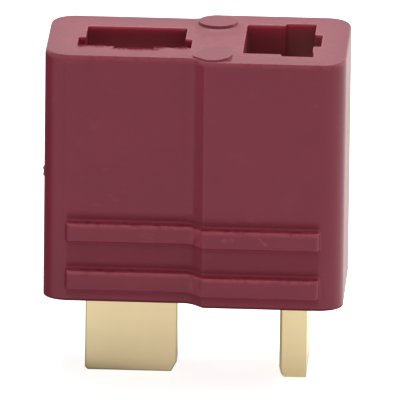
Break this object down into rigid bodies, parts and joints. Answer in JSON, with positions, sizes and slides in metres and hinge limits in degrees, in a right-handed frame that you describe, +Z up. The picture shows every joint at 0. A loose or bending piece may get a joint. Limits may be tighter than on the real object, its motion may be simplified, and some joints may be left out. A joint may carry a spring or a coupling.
{
  "type": "blade power connector socket",
  "caption": "Stepped, ribbed plastic connector socket with keyed blade slots set at right angles and flat gold solder tabs below, for joining low-voltage power leads.",
  "frame": {"origin": "middle of the footprint at the tips of the solder tabs, where the part stands", "axes": "+Z up out of the sockets' mouths, +X along the width towards the upright socket, +Y from front to back"},
  "size_m": [0.0162, 0.0098, 0.0181],
  "materials": {
    "housing": "satin moulded",
    "terminal": "satin gold plated",
    "contact_spring": "satin gold plated"
  },
  "bodies": {
    "root": {"housing": "housing", "flat_terminal": "terminal", "upright_terminal": "terminal", "flat_contact_spring": "contact_spring", "upright_contact_spring": "contact_spring"}
  },
  "joints": []
}
